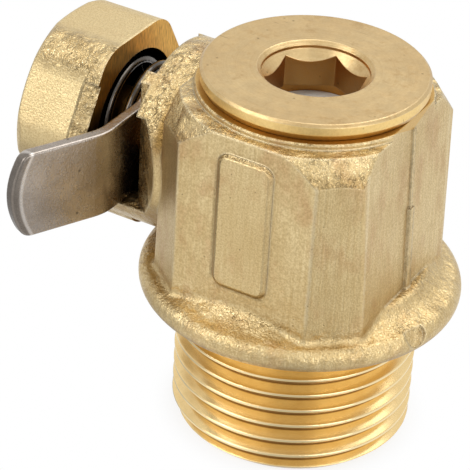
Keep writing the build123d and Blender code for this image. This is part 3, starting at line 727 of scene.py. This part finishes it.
def coilSpring():
    # the CAD spring's own surface, with the spring finish
    spring = meshFrom("coil_spring", *cadArrays("lever_spring"))
    spring.data.materials.append(finish["spring"])
    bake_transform(spring)
    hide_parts("lever_spring")
    return spring


body = valveBody()
spring = coilSpring()
print("body and spring dressed:", len(body.data.polygons) + len(spring.data.polygons), "triangles")

wearing = {"outlet_plug": "turned", "plug_o_ring": "nitrile", "outlet_seat": "ptfe", "inlet_seat": "ptfe",
           "valve_ball": "ball", "stem": "stem", "stem_o_ring_inner": "nitrile",
           "stem_o_ring_outer": "nitrile", "thrust_washer": "ptfe", "lever": "lever",
           "spring_washer": "washer", "retaining_ring": "ring"}
for name, key in wearing.items():
    mesh = nodes[name].data
    mesh.materials.clear()
    mesh.materials.append(finish[key])
print("CAD nodes finished:", len(wearing))


# stage, light and camera

stage = {"radius": 0.9, "tone": srgb(238, 237, 234), "near": 0.0104, "far": 0.017, "rings": 24, "turns": 96,
         "below": 0.02}  # metres; below is in mm
panels = {"gap": -61.0, "half": 8.0, "soft": 22.0, "dark": 0.6, "side": -156.0, "sideHalf": 6.0,
          "sideDark": 0.55, "back": 0.9}  # degrees round from +X


def panelLight(tree, direction):
    # soft panels all round, with a dark gap in front, a second at the side, and less light from the back
    place = apart(tree, direction)
    turn = maths(tree, "ARCTAN2", place["Y"], place["X"])

    def fromTurn(degrees):  # angle between the direction and a compass point, in degrees
        cosine = maths(tree, "COSINE", less(tree, turn, math.radians(degrees)))
        return maths(tree, "DEGREES", maths(tree, "ARCCOSINE", cosine))

    def gap(degrees, half, dark):
        return ramp(tree, fromTurn(degrees), half, half + panels["soft"], dark, 1.0)

    front = gap(panels["gap"], panels["half"], panels["dark"])
    side = gap(panels["side"], panels["sideHalf"], panels["sideDark"])
    back = ramp(tree, fromTurn(panels["gap"]), 90.0, 140.0, 1.0, panels["back"])
    return times(tree, front, side, back)


def mirrorRay(tree, path):  # 1 for what metal or glass shows
    return most(tree, path["Is Glossy Ray"], path["Is Transmission Ray"])


def makeFloor():
    # polar grid: radius along one parameter, angle along the other
    rings = np.concatenate([[0.0005], np.geomspace(0.01, stage["radius"], stage["rings"])])[:, None]
    turn = np.linspace(0, 2 * np.pi, stage["turns"], endpoint=False)
    size = (len(rings), len(turn))
    level = np.full(size, cadBox[0][2] - stage["below"] * mm)
    points = np.stack([rings * np.cos(turn), rings * np.sin(turn), level], -1)
    floor = meshFrom("floor", points.reshape(-1, 3), gridTriangles(*size))
    made, tree, _ = newMaterial("paleFloor", Base_Color=stage["tone"], Roughness=0.9)
    place = put(tree, "ShaderNodeTexCoord").outputs["Object"]
    away = put(tree, "ShaderNodeVectorMath", {0: place}, operation="LENGTH").outputs["Value"]
    path = put(tree, "ShaderNodeLightPath").outputs
    camera = path["Is Camera Ray"]
    tint = blend(tree, camera, panelLight(tree, place), (1, 1, 1, 1))
    white = put(tree, "ShaderNodeEmission", {"Color": tint, "Strength": 1.0}).outputs[0]
    seen = most(tree, camera, mirrorRay(tree, path))
    seen = times(tree, seen, ramp(tree, away, stage["near"], stage["far"]))
    plain = tree.nodes["Principled BSDF"].outputs[0]
    mixed = put(tree, "ShaderNodeMixShader", {0: seen, 1: plain, 2: white}).outputs[0]
    below = times(tree, put(tree, "ShaderNodeNewGeometry").outputs["Backfacing"], camera)
    clear = put(tree, "ShaderNodeBsdfTransparent").outputs[0]  # a camera under the floor sees through it
    mixed = put(tree, "ShaderNodeMixShader", {0: below, 1: mixed, 2: clear}).outputs[0]
    tree.links.new(mixed, tree.nodes["Material Output"].inputs["Surface"])
    floor.data.materials.append(made)


lamps = {"key": {"at": (-0.30, -0.34, 0.42), "size": 0.34, "power": 1.0},
         "fill": {"at": (0.42, -0.20, 0.24), "size": 0.34, "power": 0.65},
         "top": {"at": (0.05, 0.22, 0.55), "size": 0.5, "power": 1.5}}


def makeLamps():
    for name, lamp in lamps.items():
        light = bpy.data.lights.new(name, "AREA")
        light.size = lamp["size"]
        light.energy = lamp["power"]
        made = bpy.data.objects.new(name, light)
        made.location = lamp["at"]
        made.rotation_euler = (-Vector(lamp["at"])).to_track_quat("-Z", "Y").to_euler()
        scene.collection.objects.link(made)


room = {"camera": 1.0, "up": 0.8, "diffuse": 0.5, "rise": (0.25, 0.75)}


def makeWorld():  # white to the camera, a softly graded studio to everything else
    world = bpy.data.worlds.new("studio")
    world.use_nodes = True
    scene.world = world
    tree = world.node_tree
    path = put(tree, "ShaderNodeLightPath").outputs
    way = put(tree, "ShaderNodeTexCoord").outputs["Generated"]
    above = ramp(tree, apart(tree, way)["Z"], *room["rise"])
    level = times(tree, less(tree, 1.0, above), panelLight(tree, way))
    graded = plus(tree, times(tree, above, room["up"]), level)
    mirror = mirrorRay(tree, path)
    strength = plus(tree, times(tree, mirror, graded), times(tree, less(tree, 1.0, mirror), room["diffuse"]))
    strength = most(tree, strength, times(tree, path["Is Camera Ray"], room["camera"]))
    tree.links.new(strength, tree.nodes["Background"].inputs["Strength"])
    tree.nodes["Background"].inputs["Color"].default_value = (1, 1, 1, 1)


view = {"turn": 28.7, "tilt": 32.275, "roll": 3.568, "distance": 200.0, "target": (-4.819, -2.638, 4.253),
        "lens": 188.8, "sensor": 36.0}  # degrees and mm


def makeCamera():
    turn, tilt = math.radians(view["turn"]), math.radians(view["tilt"])
    right = Vector((math.cos(turn), math.sin(turn), 0))
    up = Vector((-math.sin(turn) * math.sin(tilt), math.cos(turn) * math.sin(tilt), math.cos(tilt)))
    back = right.cross(up)
    roll = Matrix.Rotation(math.radians(view["roll"]), 3, "Z")
    turned = Matrix((right, up, back)).transposed() @ roll
    place = (Vector(view["target"]) + back * view["distance"]) * mm
    camera = bpy.data.objects.new("camera", bpy.data.cameras.new("camera"))
    camera.data.lens = view["lens"]
    camera.data.sensor_width = view["sensor"]
    camera.data.clip_start = 0.01
    camera.matrix_world = Matrix.Translation(place) @ turned.to_4x4()
    scene.collection.objects.link(camera)
    scene.camera = camera


makeFloor()
makeLamps()
makeWorld()
makeCamera()
print("stage, light and camera set")
